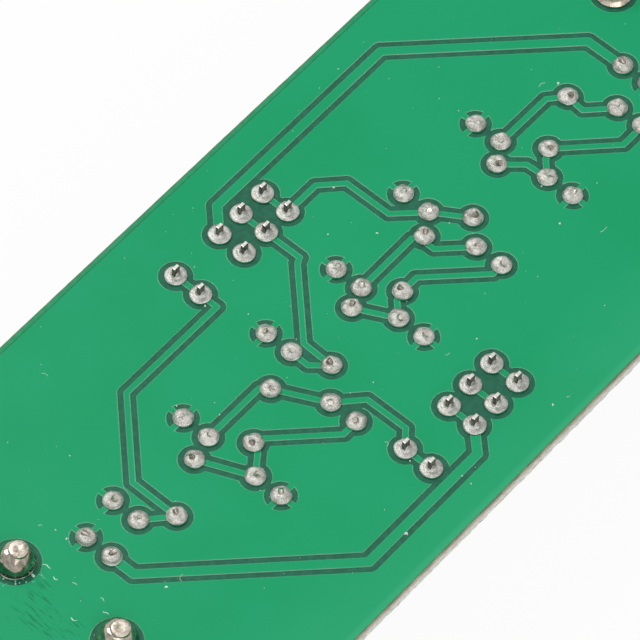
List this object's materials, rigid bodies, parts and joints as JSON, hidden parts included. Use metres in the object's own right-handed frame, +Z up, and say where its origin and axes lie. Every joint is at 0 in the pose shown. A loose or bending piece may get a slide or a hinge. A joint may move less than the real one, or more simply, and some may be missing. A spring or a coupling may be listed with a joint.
{
  "type": "low pass filter board",
  "caption": "Switched low pass filter board, solder side up, with coaxial jacks at both ends, slide switches, ring core coils and disc capacitors below.",
  "frame": {"origin": "middle of the footprint, on the surface that the two jack housings rest on", "axes": "+X along the board from the left jack to the right jack, +Y across the board, +Z up out of the solder side"},
  "size_m": [0.115, 0.0368, 0.0182],
  "materials": {
    "laminate": "glass fibre laminate under dark green solder mask",
    "solder_mask": "satin green solder mask over copper",
    "solder": "bright tin solder, a little frosty",
    "jack_plastic": "moulded black plastic",
    "nickel": "nickel plate",
    "insulator_plastic": "white moulded insulator",
    "contact_brass": "plated brass",
    "tinned_wire": "tinned wire",
    "switch_plastic": "dark moulded plastic",
    "switch_sheet": "tinned steel sheet",
    "knob_plastic": "black moulded plastic",
    "core_red": "red coating on pressed iron powder",
    "core_yellow": "yellow coating on pressed iron powder",
    "enamelled_copper": "copper wire under clear enamel",
    "dipped_ceramic": "dipped ochre coating"
  },
  "bodies": {
    "filter_board": {"board": "laminate", "solder_side_foil": "solder_mask", "component_side_foil": "solder_mask", "switch_solder": "solder", "lead_solder": "solder", "jack_solder": "solder", "left_jack_housing": "jack_plastic", "left_jack_barrel": "nickel", "left_jack_insulator": "insulator_plastic", "left_jack_contact": "contact_brass", "left_jack_ground_pin": "tinned_wire", "left_jack_posts": "tinned_wire", "right_jack_housing": "jack_plastic", "right_jack_barrel": "nickel", "right_jack_insulator": "insulator_plastic", "right_jack_contact": "contact_brass", "right_jack_ground_pin": "tinned_wire", "right_jack_posts": "tinned_wire", "rear_switch_base": "switch_plastic", "rear_switch_cover": "switch_sheet", "rear_switch_pins": "tinned_wire", "front_switch_base": "switch_plastic", "front_switch_cover": "switch_sheet", "front_switch_pins": "tinned_wire", "band_1_input_coil_core": "core_red", "band_1_input_coil_winding": "enamelled_copper", "band_1_trap_coil_core": "core_red", "band_1_trap_coil_winding": "enamelled_copper", "band_2_input_coil_core": "core_yellow", "band_2_input_coil_winding": "enamelled_copper", "band_2_trap_coil_core": "core_yellow", "band_2_trap_coil_winding": "enamelled_copper", "band_3_input_coil_core": "core_yellow", "band_3_input_coil_winding": "enamelled_copper", "band_3_trap_coil_core": "core_yellow", "band_3_trap_coil_winding": "enamelled_copper", "band_1_input_capacitor": "dipped_ceramic", "band_1_middle_capacitor": "dipped_ceramic", "band_1_trap_capacitor": "dipped_ceramic", "band_1_output_capacitor": "dipped_ceramic", "band_2_input_capacitor": "dipped_ceramic", "band_2_middle_capacitor": "dipped_ceramic", "band_2_trap_capacitor": "dipped_ceramic", "band_2_output_capacitor": "dipped_ceramic", "band_3_input_capacitor": "dipped_ceramic", "band_3_middle_capacitor": "dipped_ceramic", "band_3_trap_capacitor": "dipped_ceramic", "band_3_output_capacitor": "dipped_ceramic", "band_1_capacitor_leads": "tinned_wire", "band_2_capacitor_leads": "tinned_wire", "band_3_capacitor_leads": "tinned_wire"},
    "rear_knob": {"rear_switch_knob": "knob_plastic", "rear_switch_wipers": "contact_brass"},
    "front_knob": {"front_switch_knob": "knob_plastic", "front_switch_wipers": "contact_brass"}
  },
  "joints": [
    {"name": "rear_knob_slide", "type": "slide", "parent": "filter_board", "child": "rear_knob", "axis": [1, 0, 0], "range_m": [-0.00254, 0.00254]},
    {"name": "front_knob_slide", "type": "slide", "parent": "filter_board", "child": "front_knob", "axis": [1, 0, 0], "range_m": [-0.00254, 0.00254]}
  ]
}
